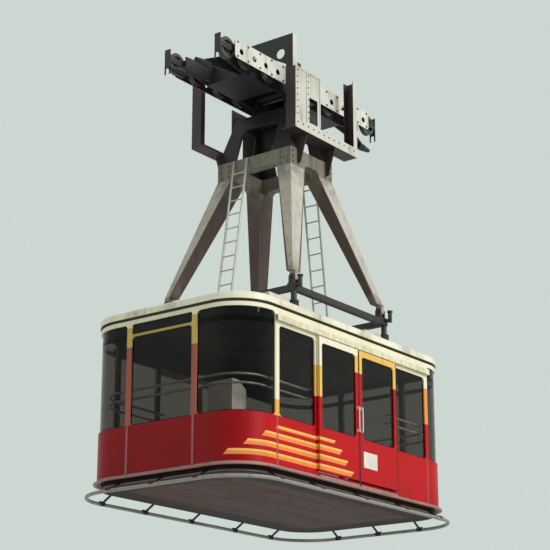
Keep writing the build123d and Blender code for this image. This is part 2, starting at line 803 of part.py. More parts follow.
# Grooved wheels
wheel_profile = make_face(Polyline(
    (axle_radius + running_clearance, -wheel_width / 2), (hub_radius, -wheel_width / 2),
    (hub_radius, -web_thickness / 2), (wheel_radius - groove_depth - rim_thickness, -web_thickness / 2),
    (wheel_radius - groove_depth - rim_thickness, -wheel_width / 2), (wheel_radius, -wheel_width / 2),
    (wheel_radius, -wheel_width / 2 + 10), (wheel_radius - groove_depth, -12),
    (wheel_radius - groove_depth, 12), (wheel_radius, wheel_width / 2 - 10), (wheel_radius, wheel_width / 2),
    (wheel_radius - groove_depth - rim_thickness, wheel_width / 2),
    (wheel_radius - groove_depth - rim_thickness, web_thickness / 2), (hub_radius, web_thickness / 2),
    (hub_radius, wheel_width / 2), (axle_radius + running_clearance, wheel_width / 2), close=True,
))
wheel = revolve(wheel_profile, Axis.Y)
wheel = Rot(0, 0, 90) * wheel
for side, label in ((1, "right"), (-1, "left")):
    for number, y in enumerate(wheel_ys, start=1):
        write(f"wheel_{label}_{number}", Pos(side * rope_x, y, wheel_height) * wheel)

# Outriggers that stand on the side plates and reach over the girder
outrigger_x = (side_plate_outer, outrigger_reach_x)
post = block(outrigger_x, outrigger_y, (outrigger_bottom, outrigger_top))
arm = block((outrigger_reach, side_plate_outer + weld), (outrigger_y[0], outrigger_y[0] + outrigger_arm),
            (outrigger_top - outrigger_arm, outrigger_top))
gusset_top = outrigger_top - outrigger_arm + weld
gusset_outline = make_face(Polyline(
    (outrigger_reach + gusset_set, gusset_top), (side_plate_outer + weld, gusset_top),
    (side_plate_outer + weld, gusset_foot), close=True,
))
gusset_hole = (
    side_plate_outer - gusset_hole_from_post, outrigger_top - outrigger_arm - gusset_hole_from_arm)
gusset_outline -= Pos(*gusset_hole) * Circle(gusset_hole_radius)
gusset_plane = Plane(origin=(0, outrigger_y[0], 0), x_dir=(1, 0, 0), z_dir=(0, -1, 0))
outrigger = post + arm + extrude(gusset_plane * gusset_outline, -gusset_plate) - pivot_pin
write("outriggers", Compound([outrigger, turned(outrigger)]))

# Sockets for the four haul rope ends, under plates that drop from the ends of the girder. Each
# plate runs into the top of its socket and stays clear of the rope hole.
drop_bottom = haul_z + haul_rope_radius + drop_rope_gap
collar_end = socket_start + socket_collar
drop_outline = make_face(Polyline(
    (girder_half, girder_top - girder_plate), (girder_half, girder_bottom + girder_plate),
    (socket_start - socket_radius, drop_bottom), (collar_end, drop_bottom),
    (collar_end, haul_z + socket_radius + drop_rope_gap),
    (girder_half + 2 * socket_radius, girder_top - girder_plate), close=True,
))
sockets = []
for x in (-haul_x, haul_x):
    drop_plane = Plane(origin=(x - drop_plate / 2, 0, 0), x_dir=(0, 1, 0), z_dir=(1, 0, 0))
    cone_profile = make_face(Polyline(
        (haul_rope_radius, socket_start), (socket_radius, socket_start),
        (socket_radius, collar_end), (socket_nose, socket_start + socket_length),
        (haul_rope_radius, socket_start + socket_length), close=True,
    ))
    cone = Pos(x, 0, haul_z) * revolve(cone_profile, Axis.Y)
    plate = extrude(drop_plane * drop_outline, drop_plate)
    sockets.append(plate + cone)
write("haul_sockets", Compound(sockets + [turned(piece) for piece in sockets]))
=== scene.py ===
from math import cos, pi, radians, sin

import bmesh
import bpy
from mathutils import Matrix, Vector


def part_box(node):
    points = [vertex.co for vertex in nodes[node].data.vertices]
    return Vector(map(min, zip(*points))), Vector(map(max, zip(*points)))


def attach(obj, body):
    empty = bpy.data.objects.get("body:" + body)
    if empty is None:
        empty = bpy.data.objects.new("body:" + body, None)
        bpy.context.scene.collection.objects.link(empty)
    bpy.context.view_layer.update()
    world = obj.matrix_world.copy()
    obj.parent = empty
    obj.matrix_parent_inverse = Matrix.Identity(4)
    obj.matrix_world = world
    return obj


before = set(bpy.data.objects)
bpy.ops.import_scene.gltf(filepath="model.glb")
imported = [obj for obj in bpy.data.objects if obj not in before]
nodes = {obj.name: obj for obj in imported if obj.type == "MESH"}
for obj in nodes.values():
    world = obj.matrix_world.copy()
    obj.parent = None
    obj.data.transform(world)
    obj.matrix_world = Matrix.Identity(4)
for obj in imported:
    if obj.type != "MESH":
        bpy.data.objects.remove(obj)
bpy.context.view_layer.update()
print("frame loaded:", len(nodes), "nodes")

# Cabin sizes in metres that the pieces and the paint share. z is 0 at the track ropes, and what is
# called a height is measured up from the cabin's lower edge.
cabin = {
    "halfWidth": 1.52,
    "halfLength": 2.70,
    "cornerRadius": 0.62,
    "bottom": -6.47,
    "sill": 0.74,
    "endPost": 0.61,
    "sidePost": 1.96,
    "leafOuter": 1.566,
    "panInset": 0.07,
    "crownTop": -3.985,
}


def colour(code):  # sRGB hex code to the linear values that sockets take
    parts = [int(code[i:i + 2], 16) / 255 for i in (0, 2, 4)]
    return tuple(c / 12.92 if c <= 0.04045 else ((c + 0.055) / 1.055) ** 2.4 for c in parts) + (1.0,)


class Wire:  # an output socket that can be used in sums
    def __init__(self, tree, socket):
        self.tree = tree
        self.socket = socket

    def maths(self, operation, *inputs):
        return self.tree.node("ShaderNodeMath", {"operation": operation}, dict(enumerate(inputs)))

    def __add__(self, other):
        return self.maths("ADD", self, other)

    def __radd__(self, other):
        return self.maths("ADD", other, self)

    def __sub__(self, other):
        return self.maths("SUBTRACT", self, other)

    def __rsub__(self, other):
        return self.maths("SUBTRACT", other, self)

    def __mul__(self, other):
        return self.maths("MULTIPLY", self, other)

    def __rmul__(self, other):
        return self.maths("MULTIPLY", other, self)

    def __truediv__(self, other):
        return self.maths("DIVIDE", self, other)

    def __rtruediv__(self, other):
        return self.maths("DIVIDE", other, self)

    def __gt__(self, other):
        return self.maths("GREATER_THAN", self, other)

    def __lt__(self, other):
        return self.maths("LESS_THAN", self, other)

    def __abs__(self):
        return self.maths("ABSOLUTE", self)

    def sign(self):
        return self.maths("SIGN", self)

    def most(self, other):
        return self.maths("MAXIMUM", self, other)

    def least(self, other):
        return self.maths("MINIMUM", self, other)

    def root(self):
        return self.maths("SQRT", self)


class Tree:  # a node tree, whose nodes all come from its node method
    def __init__(self, nodeTree):
        self.nodeTree = nodeTree
        self.kept = {}

    def node(self, kind, settings=None, values=None, output=0):
        made = self.nodeTree.nodes.new(kind)
        for key, value in (settings or {}).items():
            if key == "stops":
                stops = made.color_ramp.elements
                while len(stops) < len(value):
                    stops.new(0.5)
                for stop, (place, shade) in zip(stops, value):
                    stop.position = place
                    stop.color = shade if isinstance(shade, tuple) else (shade, shade, shade, 1)
            elif key == "blending":
                made.color_ramp.interpolation = value
            else:
                setattr(made, key, value)
        for key, value in (values or {}).items():
            if isinstance(value, Wire):
                self.nodeTree.links.new(value.socket, made.inputs[key])
            else:
                made.inputs[key].default_value = value
        return Wire(self, made.outputs[output])

    def place(self):
        if "place" not in self.kept:
            self.kept["place"] = self.node("ShaderNodeTexCoord", output="Object")
        return self.kept["place"]

    def axes(self):
        if "axes" not in self.kept:
            split = self.node("ShaderNodeSeparateXYZ", None, {0: self.place()})
            self.kept["axes"] = [Wire(self, out) for out in split.socket.node.outputs]
        return self.kept["axes"]

    def noise(self, scale, detail=3.0, stretch=(1.0, 1.0, 1.0)):
        spot = self.node("ShaderNodeMapping", None, {0: self.place(), "Scale": stretch})
        return self.node("ShaderNodeTexNoise", None, {"Vector": spot, "Scale": scale, "Detail": detail})

    def fade(self, wire, low, high, start=0.0, end=1.0):
        settings = {"interpolation_type": "SMOOTHSTEP"}
        return self.node("ShaderNodeMapRange", settings, {0: wire, 1: low, 2: high, 3: start, 4: end})

    def ramp(self, wire, stops, blending="LINEAR"):
        return self.node("ShaderNodeValToRGB", {"stops": stops, "blending": blending}, {0: wire})

    def mix(self, mask, first, second):
        return self.node("ShaderNodeMix", {"data_type": "RGBA"}, {0: mask, 6: first, 7: second}, 2)


class Finish(Tree):  # a material with one Principled BSDF
    def __init__(self, name, **sockets):
        self.material = bpy.data.materials.new(name)
        self.material.use_nodes = True
        super().__init__(self.material.node_tree)
        self.surface = self.nodeTree.nodes["Principled BSDF"]
        for socket, value in sockets.items():
            self.surface.inputs[socket.replace("_", " ")].default_value = value

    def feed(self, socket, wire):
        self.nodeTree.links.new(wire.socket, self.surface.inputs[socket])

    def bump(self, height, strength, distance):
        values = {"Height": height, "Strength": strength, "Distance": distance}
        self.feed("Normal", self.node("ShaderNodeBump", None, values))


def grimeOf(finish, amount, runs=0.5):  # cloudy patches and rain runs, 0 where clean
    patches = finish.fade(finish.noise(1.7, 5.0), 0.45, 0.74)
    streaks = finish.fade(finish.noise(8.0, 3.0, (1.0, 1.0, 0.06)), 0.5, 0.76)
    return (patches * (1 - runs) + streaks * runs) * amount


def edgeDistance(finish):  # distance outside the cabin's rounded plan, negative inside
    x, y, _ = finish.axes()
    qx = abs(x) - (cabin["halfWidth"] - cabin["cornerRadius"])
    qy = abs(y) - (cabin["halfLength"] - cabin["cornerRadius"])
    outside = (qx.most(0.0) * qx.most(0.0) + qy.most(0.0) * qy.most(0.0)).root()
    return outside + qx.most(qy).least(0.0) - cabin["cornerRadius"]


def band(value, low, high):  # 1 between two values
    return (value > low) * (value < high)


def around(value, middle, half):  # 1 near a value
    return abs(value - middle) < half


def coloursOf(look):
    return {key: colour(code) for key, code in look.items() if isinstance(code, str)}


paintLook = {
    "red": "BA0A14",
    # the ends' red, a darker copy of the side's red that is painted shade
    "endRed": "90050D",
    "cream": "F1EACB",
    "yellow": "EFBF5E",
    "orange": "F08A45",
    "oliveBar": "B7A95C",
    "endBand": "D2B765",
    "endPost": "A65F50",
    "muted": "A9545A",
    "trim": "B98B84",
    "shadedLining": "34342F",
    "dirt": "4A2A22",
    "grime": 0.5,
    "roughness": 0.34,
    "coat": 0.05,
}

# Where the red of a post ends and where its cream starts: along the side from the front, red, cream
postSteps = (
    (-2.70, 0.74, 0.97),
    (-1.50, 1.19, 1.65),
    (-0.50, 1.73, 1.99),
    (0.003, 1.73, 2.097),
    (0.50, 1.67, 2.097),
    (1.02, 1.67, 2.02),
    (1.50, 1.30, 1.88),
)

# The band between red and cream on a side: share of the length from the front, colour
sideBand = ((0.0, "orange"), (0.2, "yellow"), (0.72, "yellow"), (0.9, "orange"))

# Slanted stripes over the red: lower edge, upper edge, start and end along the side
stripes = (
    (0.13, 0.21, -2.95, -0.35),
    (0.27, 0.35, -2.80, -0.62),
    (0.41, 0.49, -2.65, -0.89),
    (0.55, 0.60, -2.50, -1.16),
)

# Other heights and places in metres where the paint changes
paintLines = {
    "sideFrom": 1.2,  # across the cabin, past it a face counts as the side's
    "endRed": 1.90,
    "cornerDrop": 0.14,  # the posts at two opposite corners change this much lower
    "endCream": 2.19,
    "shade": (2.1, 2.66),  # along the cabin, from the side's red to the end's darker red, which is painted shade
    "bar": (2.045, 2.09),
    "barHalf": 0.56,
    "slant": 0.9,
    "highlight": 0.03,
    "stripHalf": 0.02,
    "lineHeight": 0.03,
    "lineHalf": 0.011,
    "lineInside": 1.523,
    "outerFace": -0.008,
    "shadedLining": -0.046,
    "seams": (1.915, 2.005),
    "seamHalf": 0.003,
    "lowDirt": 0.5,
}
tallest = 3  # a ramp holds no more than 1, so it takes heights as shares of this


def paintCabin():
    look, lines = coloursOf(paintLook), paintLines
    length, radius = 2 * cabin["halfLength"], cabin["cornerRadius"]
    paint = Finish("cabinPaint", Coat_Roughness=0.12, Specular_IOR_Level=0.14)
    x, y, z = paint.axes()
    height = z - cabin["bottom"]
    along = y * x.sign()  # the sides are half turns of each other, so both count from their own front
    onSide = abs(x) > lines["sideFrom"]
    place = (along + length / 2) / length

    def steps(column):
        stops = [((row[0] + length / 2) / length, row[column] / tallest) for row in postSteps]
        return paint.ramp(place, stops, "CONSTANT") * tallest

    nearPost = (x * y) < 0.0
    redTop = steps(1) * onSide + (lines["endRed"] - lines["cornerDrop"] * nearPost) * (1 - onSide)
    creamFoot = steps(2) * onSide + lines["endCream"] * (1 - onSide)
    # painted shade: the red turns darker towards the ends
    red = paint.mix(paint.fade(abs(y), *lines["shade"]), look["red"], look["endRed"])
    upper = paint.mix(onSide, look["endPost"], look["red"])
    base = paint.mix(height > cabin["sill"] + 0.005, red, upper)
    between = paint.ramp(place, [(share, look[name]) for share, name in sideBand])
    base = paint.mix(height > redTop, base, paint.mix(onSide, look["endBand"], between))
    base = paint.mix(height > creamFoot, base, look["cream"])
    bar = band(height, *lines["bar"]) * (abs(x) < lines["barHalf"])
    base = paint.mix(bar, base, look["oliveBar"])

    # stripes run round the corner, so they are measured along the cabin's outline
    straight = cabin["halfLength"] - radius
    beyond = (-straight - along).most(0.0)
    turned = beyond.maths("ARCTAN2", beyond, abs(x) - (cabin["halfWidth"] - radius))
    slant = along.most(-straight) - turned * radius - height * lines["slant"]
    outer = edgeDistance(paint) > lines["outerFace"]  # none on the faces inside a doorway
    for low, high, start, end in stripes:
        inside = band(height, low, high) * band(slant, start, end) * outer
        base = paint.mix(inside, base, look["orange"])
        base = paint.mix(inside * (height > high - lines["highlight"]), base, look["yellow"])

    # muted strips at the side posts and the pale line along the bottom edge
    strip = around(abs(y), cabin["sidePost"], lines["stripHalf"]) * (height < cabin["sill"]) * onSide
    base = paint.mix(strip * 0.75, base, look["muted"])
    line = around(height, lines["lineHeight"], lines["lineHalf"]) * (abs(x) < lines["lineInside"])
    base = paint.mix(line, base, look["trim"])
    # painted shade: the wall faces inside the cabin are painted near black
    base = paint.mix(edgeDistance(paint) < lines["shadedLining"], base, look["shadedLining"])

    grime = grimeOf(paint, paintLook["grime"], 0.6) * paint.fade(height, 0.0, lines["lowDirt"], 1.0, 0.35)
    paint.feed("Base Color", paint.mix(grime, base, look["dirt"]))
    paint.feed("Roughness", paintLook["roughness"] + grime * 0.5 + paint.noise(55.0, 2.0) * 0.08)
    paint.feed("Coat Weight", paintLook["coat"] - grime * paintLook["coat"])
    first, second = (abs(abs(y) - at) for at in lines["seams"])
    seam = first.least(second) < lines["seamHalf"]
    paint.bump(paint.noise(2.4, 2.0) + paint.noise(90.0, 2.0) * 0.03 - seam * 0.25, 0.35, 0.006)
    return paint


# Colours of the roof, and z of its worn crown, of the groove under its band and of its ceiling. The groove
# and the ceiling are painted dark as painted shade.
roofLook = {"cream": "F0EBD2", "worn": "B9B08C", "groove": "4E4A2C", "ceilingShade": "2E2C24", "dirt": "6E674C",
            "wornFrom": -4.03, "wornTo": -4.0, "grooveTop": -4.127, "grooveBelow": -4.134,
            "grooveFrom": -4.137, "ceilingBelow": -4.166}


def paintRoof():
    look, levels = coloursOf(roofLook), roofLook
    roof = Finish("roofCream", Coat_Weight=0.1)
    z = roof.axes()[2]
    grime = grimeOf(roof, 0.75, 0.35)
    top = roof.fade(z, levels["wornFrom"], levels["wornTo"])
    base = roof.mix(top * 0.7, look["cream"], look["worn"])
    base = roof.mix(grime, base, look["dirt"])
    # painted shade: the groove under the roof's band and the faces below it are painted dark olive
    base = roof.mix(z < levels["grooveBelow"], base, look["groove"])
    # painted shade: the roof's underside inside the cabin is painted near black
    base = roof.mix(z < levels["ceilingBelow"], base, look["ceilingShade"])
    base = roof.mix(band(z, levels["grooveFrom"], levels["grooveTop"]), base, look["groove"])
    roof.feed("Base Color", base)
    roof.feed("Roughness", 0.45 + grime * 0.35)
    roof.bump(roof.noise(2.0, 3.0) + roof.noise(70.0, 2.0) * 0.04, 0.3, 0.006)
    return roof


# Colours of the pan under the floor, and its seams: across it a pitch apart, along it at seamX
panLook = {"shadeAndStains": "20130F", "middle": "4E3933", "mud": "67514A", "seam": "160D0B", "edge": "150D0B",
           "pitch": 0.45, "seamX": 0.62, "seamHalf": 0.006, "bottom": -6.555, "edgeFrom": -6.553}


def paintUnderside():
    look = coloursOf(panLook)
    pan = Finish("undersideBrown", Specular_IOR_Level=0.2)
    x, y, z = pan.axes()
    inset = edgeDistance(pan)
    # painted shade: the pan is painted darker in a margin along its outer edge; the same dark colour also
    # makes random stains over it
    shadedMargin = pan.fade(inset + pan.noise(3.0, 4.0) * 0.2, -0.50, -0.34)
    base = pan.mix(shadedMargin, look["middle"], look["shadeAndStains"])
    cloud = pan.fade(pan.noise(3.2, 5.0, (1.0, 0.12, 1.0)), 0.44, 0.6)
    cloud = cloud * pan.fade(inset, -0.42, -0.28, 1.0, 0.2)
    base = pan.mix(cloud * 0.5, base, look["mud"])
    base = pan.mix(pan.fade(pan.noise(3.5, 5.0), 0.55, 0.8) * 0.6, base, look["shadeAndStains"])
    across = y.maths("PINGPONG", y, panLook["pitch"]) < panLook["seamHalf"]
    seam = across.most(around(abs(x), panLook["seamX"], panLook["seamHalf"])) * (z < panLook["bottom"])
    base = pan.mix(seam * 0.8, base, look["seam"])
    base = pan.mix(z > panLook["edgeFrom"], base, look["edge"])
    pan.feed("Base Color", base)
    pan.feed("Roughness", 0.62 + cloud * 0.2)
    pan.bump(pan.noise(5.0, 4.0) - seam * 0.8, 0.4, 0.006)
    return pan


floorLook = {"worn": "45423D", "base": "2E2C2B", "below": "241917", "belowFrom": -6.4, "ribs": 0.012}


def paintFloor():
    look = coloursOf(floorLook)
    floor = Finish("floorGrey")
    _, y, z = floor.axes()
    worn = floor.fade(floor.noise(2.5, 5.0), 0.4, 0.7)
    base = floor.mix(worn, look["base"], look["worn"])
    floor.feed("Base Color", floor.mix(z < floorLook["belowFrom"], base, look["below"]))
    floor.feed("Roughness", 0.6 + worn * 0.2)
    ribs = y.maths("PINGPONG", y, floorLook["ribs"]) * 60
    floor.bump(ribs + floor.noise(30.0), 0.3, 0.002)
    return floor


glassLook = {"tint": "928E89", "seal": "050505", "dust": "8E8B85", "sealHalf": 0.016}

# Seals of the panes: heights, and places of the upright ones along a side and across an end
paneSeals = {
    "windowGlass": {"heights": (0.74, 2.05, 2.24, 2.085), "side": (1.06, 1.915, 2.005),
                    "end": (0.655, 0.565)},
    "leafGlass": {"heights": (0.74, 2.0), "side": (0.088, 0.945), "end": ()},
}


def glaze(name):
    look, seals = coloursOf(glassLook), paneSeals[name]
    half = glassLook["sealHalf"]
    glass = Finish(name, Transmission_Weight=1.0, Roughness=0.0, IOR=1.2, Specular_IOR_Level=0.35)
    x, y, z = glass.axes()
    height = z - cabin["bottom"]
    masks = [around(height, at, half) for at in seals["heights"]]
    masks += [around(abs(y), at, half) * (abs(x) > 1.3) for at in seals["side"]]
    masks += [around(abs(x), at, half) * (abs(y) > 2.6) for at in seals["end"]]
    seal = masks[0]
    for mask in masks[1:]:
        seal = seal.most(mask)
    dust = glass.fade(glass.noise(3.0, 5.0, (1.0, 1.0, 0.4)), 0.45, 0.8) * 0.25
    glass.feed("Base Color", glass.mix(seal, glass.mix(dust, look["tint"], look["dust"]), look["seal"]))
    return glass


# Steel and other plain finishes. outer is the colour of faces further out than outerFrom, painted pale as
# painted sunlight over a base painted dark as painted shade; the inner colour is that of the legs' faces
# that look at each other, painted dark as painted shade; tube that of the ring outside tubeFrom, and ends
# lists heights z with the reach of the dirt round them. nodes are the CAD nodes that take the finish.
steelLooks = {
    "hangerPaint": {"base": "C4BFB0", "dirt": "7A7263", "rust": "6A3B22", "dirtAmount": 0.4,
                    "rustAmount": 0.2, "ends": ((-3.35, 0.5), (-1.35, 0.5)), "inner": "4E3B34",
                    "roughness": 0.5, "nodes": ("hanger_legs",)},
    "headPaint": {"base": "86806F", "dirt": "2E2822", "rust": "5A3420", "dirtAmount": 0.8,
                  "rustAmount": 0.4, "roughness": 0.55, "nodes": ("head_frame",)},
    "neckPaint": {"base": "26211F", "dirt": "100D0C", "rust": "4A2A1C", "dirtAmount": 0.7,
                  "rustAmount": 0.3, "roughness": 0.5, "nodes": ("neck",)},
    "carriagePaint": {"base": "30252A", "dirt": "120E0E", "rust": "5A3020", "dirtAmount": 0.7,
                      "rustAmount": 0.35, "roughness": 0.5,
                      "nodes": ("carriage_frame", "rockers", "rope_guides")},
    # painted light: these three take a pale outer colour on their outer faces as painted sunlight and a
    # dark base as painted shade
    "sidePlatePaint": {"base": "2E2728", "outer": "E2DFD2", "outerFrom": 0.611, "dirt": "3F382F",
                       "rust": "6A3B22", "dirtAmount": 0.6, "rustAmount": 0.5, "roughness": 0.5,
                       "nodes": ("side_plates",)},
    "outriggerPaint": {"base": "23221C", "outer": "D9D8CB", "outerFrom": 0.7475, "dirt": "14120F",
                       "rust": "5A3420", "dirtAmount": 0.55, "rustAmount": 0.3, "roughness": 0.5,
                       "nodes": ("outriggers",)},
    "platformPaint": {"base": "3C2A2C", "outer": "CFCCBD", "outerFrom": 0.9575, "dirt": "1C1415",
                      "rust": "5E3420", "dirtAmount": 0.55, "rustAmount": 0.35, "roughness": 0.52,
                      "nodes": ("platforms",)},
    "footSteel": {"base": "2B2A26", "dirt": "14120F", "rust": "57301D", "dirtAmount": 0.6,
                  "rustAmount": 0.35, "roughness": 0.5, "nodes": ("leg_feet", "roof_frame")},
    "ringSteel": {"base": "1B1A18", "tube": "918C85", "tubeFrom": 0.112, "dirt": "0C0B0A",
                  "rust": "4A2A1A", "dirtAmount": 0.5, "rustAmount": 0.2, "roughness": 0.45,
                  "nodes": ("guard_ring",)},
    "socketSteel": {"base": "3A3837", "dirt": "171513", "rust": "5B3622", "dirtAmount": 0.6,
                    "rustAmount": 0.3, "roughness": 0.42, "metal": 0.6, "nodes": ("haul_sockets",)},
    "ladderSteel": {"base": "C4C5BD", "dirt": "66625A", "rust": "6A4028", "dirtAmount": 0.5,
                    "rustAmount": 0.2, "roughness": 0.38, "metal": 0.35, "nodes": ("ladders",)},
    "pinSteel": {"base": "8D8B86", "dirt": "2A2520", "rust": "5A3A26", "dirtAmount": 0.6,
                 "rustAmount": 0.25, "roughness": 0.32, "metal": 0.9, "nodes": ("pivot_pin",)},
    "hoodPaint": {"base": "D9D4BE", "dirt": "6D6753", "rust": "6A4630", "dirtAmount": 0.6,
                  "rustAmount": 0.2, "roughness": 0.5, "nodes": ("roof_hoods",)},
    "railPaint": {"base": "EDE6C8", "dirt": "8B8260", "rust": "6A4630", "dirtAmount": 0.5,
                  "rustAmount": 0.1, "roughness": 0.42, "nodes": ("door_rails",)},
    "handrailSteel": {"base": "DAD8D0", "dirt": "8F8B83", "rust": "6A5646", "dirtAmount": 0.3,
                      "rustAmount": 0.0, "roughness": 0.35, "metal": 0.2, "nodes": ("handrails",)},
    "consolePaint": {"base": "FAF9F2", "dirt": "8B8678", "rust": "5A4634", "dirtAmount": 0.15,
                     "streak": 0.0, "rustAmount": 0.0, "roughness": 0.45, "nodes": ("console",)},
    "bufferRubber": {"base": "1A1A19", "dirt": "3A3630", "rust": "2A2420", "dirtAmount": 0.6,
                     "rustAmount": 0.0, "roughness": 0.75, "nodes": ("roof_buffers",)},
    "trimPaint": {"base": "A8807A", "dirt": "6B4A46", "rust": "6A3B30", "dirtAmount": 0.5,
                  "rustAmount": 0.2, "roughness": 0.45, "nodes": ()},
    "mutedStrip": {"base": "A65C60", "dirt": "5A2A2C", "rust": "5A3028", "dirtAmount": 0.5,
                   "rustAmount": 0.1, "roughness": 0.45, "nodes": ()},
    "panLine": {"base": "77605F", "dirt": "3A2A2A", "rust": "5A3028", "dirtAmount": 0.6,
                "rustAmount": 0.2, "roughness": 0.55, "nodes": ()},
    "rubber": {"base": "121212", "dirt": "2A2725", "rust": "201C1A", "dirtAmount": 0.5,
               "rustAmount": 0.0, "roughness": 0.7, "nodes": ()},
    "plateFace": {"base": "E6E2D2", "dirt": "9A917A", "rust": "7A6A58", "dirtAmount": 0.35,
                  "rustAmount": 0.0, "roughness": 0.5, "nodes": ()},
    "boltSteel": {"base": "7E7B74", "dirt": "2B2723", "rust": "5E3A26", "dirtAmount": 0.6,
                  "rustAmount": 0.4, "roughness": 0.42, "metal": 0.6, "nodes": ()},
}

# Middle of a leg (x, y, z) and half its section across and along, at its foot and its head
legLine = {"foot": (1.215, 1.15, -3.35, 0.0575, 0.0975), "head": (0.595, 0.375, -1.35, 0.135, 0.185)}


def innerFaces(steel):  # the faces of the legs that look at each other, 1 within a few millimetres; they take painted shade
    x, y, z = steel.axes()
    foot, head = legLine["foot"], legLine["head"]
    rise = (z - foot[2]) / (head[2] - foot[2])
    across = foot[0] - foot[3] + rise * (head[0] - head[3] - foot[0] + foot[3])
    along = foot[1] - foot[4] + rise * (head[1] - head[4] - foot[1] + foot[4])
    return (abs(x) < across + 0.006).most(abs(y) < along + 0.006)


def paintSteel(name, look):
    shades = coloursOf(look)
    steel = Finish(name, Metallic=look.get("metal", 0.0))
    x, _, z = steel.axes()
    patches = steel.fade(steel.noise(9.0, 4.0), 0.35, 0.7) * 0.2
    base = steel.mix(patches, shades["base"], shades["dirt"])
    streak = steel.fade(steel.noise(30.0, 3.0, (1.0, 1.0, 0.04)), 0.48, 0.7) * look.get("streak", 0.3)
    base = steel.mix(streak, base, shades["dirt"])
    if "outer" in look:
        # painted light and shade: faces further out than outerFrom are pale as painted sunlight, the rest
        # keep the dark base as painted shade
        base = steel.mix(abs(x) > look["outerFrom"], base, shades["outer"])
    if "inner" in look:
        # painted shade: the legs' faces that look at each other are painted dark brown
        base = steel.mix(innerFaces(steel), base, shades["inner"])
    if "tube" in look:
        base = steel.mix(edgeDistance(steel) > look["tubeFrom"], base, shades["tube"])
    grime = grimeOf(steel, look["dirtAmount"], 0.6)
    for end, reach in look.get("ends", ()):  # darker towards the joints
        spread = steel.fade(abs(z - end), 0.0, reach, 0.75, 0.0)
        grime = grime.most(spread * steel.fade(steel.noise(5.0), 0.3, 0.6))
    base = steel.mix(grime, base, shades["dirt"])
    rust = steel.fade(steel.noise(6.0, 6.0, (1.0, 1.0, 0.3)), 0.6, 0.72) * look["rustAmount"]
    steel.feed("Base Color", steel.mix(rust, base, shades["rust"]))
    steel.feed("Roughness", look["roughness"] + grime * 0.25 + rust * 0.3)
    steel.bump(steel.noise(25.0, 4.0) + rust * 0.5, 0.25, 0.002)
    return steel


wheelLook = {"worn": "6C6862", "rings": "3A3733", "grease": "1B1716"}


def paintWheel():
    look = coloursOf(wheelLook)
    wheel = Finish("wheelSteel", Metallic=0.75)
    rings = wheel.noise(40.0, 2.0, (3.0, 0.4, 0.4))
    grime = grimeOf(wheel, 0.8, 0.2)
    base = wheel.mix(rings * 0.5, look["worn"], look["rings"])
    wheel.feed("Base Color", wheel.mix(grime, base, look["grease"]))
    wheel.feed("Roughness", 0.34 + grime * 0.4)
    wheel.bump(rings, 0.2, 0.001)
    return wheel


finishes = {"paint": paintCabin(), "roof": paintRoof(), "underside": paintUnderside(),
            "floor": paintFloor(), "glass": glaze("windowGlass"), "leafGlass": glaze("leafGlass"),
            "wheel": paintWheel()}
finishOfNode = {"roof": "roof", "belly_pan": "underside", "floor": "floor", "glass_ends": "glass",
                "glass_sides": "glass"}
for name, look in steelLooks.items():
    finishes[name] = paintSteel(name, look)
    finishOfNode.update({node: name for node in look["nodes"]})
for node, shape in nodes.items():
    kind = finishOfNode.get(node, "paint")
    if node.startswith("wheel"):
        kind = "wheel"
    elif node.startswith("door_glass"):
        kind = "leafGlass"
    for slot in shape.material_slots:
        slot.material = finishes[kind].material
for node in ("glass_ends", "glass_sides"):
    nodes[node].visible_shadow = False  # daylight reaches the handrails
print("finishes:", len(finishes))


def newPiece(name, bm, finish, body):
    bmesh.ops.remove_doubles(bm, verts=bm.verts, dist=1e-6)
    bmesh.ops.recalc_face_normals(bm, faces=bm.faces)
    mesh = bpy.data.meshes.new(name)
    bm.to_mesh(mesh)
    bm.free()
    mesh.materials.append(finishes[finish].material)
    piece = bpy.data.objects.new(name, mesh)
    bpy.context.scene.collection.objects.link(piece)
    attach(piece, body)


def edgesOf(verts):
    return list({edge for vert in verts for edge in vert.link_edges})


def roundEdges(bm, edges, size, segments=2):
    return bmesh.ops.bevel(bm, geom=edges, offset=size, offset_type="OFFSET", affect="EDGES",
                           segments=segments, profile=0.5, material=-1)


def addBox(bm, low, high):
    place = Matrix.Translation((low + high) / 2) @ Matrix.Diagonal((*(high - low), 1))
    return bmesh.ops.create_cube(bm, size=1, matrix=place)["verts"]


def addBar(bm, first, second, edge):  # box between two opposite corners with its edges eased
    low = Vector([min(pair) for pair in zip(first, second)])
    high = Vector([max(pair) for pair in zip(first, second)])
    roundEdges(bm, edgesOf(addBox(bm, low, high)), edge)


def addRod(bm, start, end, radius, endRadius=None, segments=16):
    start, end = Vector(start), Vector(end)
    turn = (end - start).to_track_quat("Z", "Y").to_matrix().to_4x4()
    place = Matrix.Translation((start + end) / 2) @ turn
    return bmesh.ops.create_cone(bm, cap_ends=True, segments=segments, radius1=radius,
                                 radius2=radius if endRadius is None else endRadius,
                                 depth=(end - start).length, matrix=place)


def addBolt(bm, at, axis, size):  # washer and tapered hexagon head
    at, axis = Vector(at), Vector(axis)
    addRod(bm, at - axis * 0.002, at + axis * 0.003, size * 1.35, segments=12)
    addRod(bm, at + axis * 0.003, at + axis * (0.003 + size * 0.7), size, size * 0.94, segments=6)


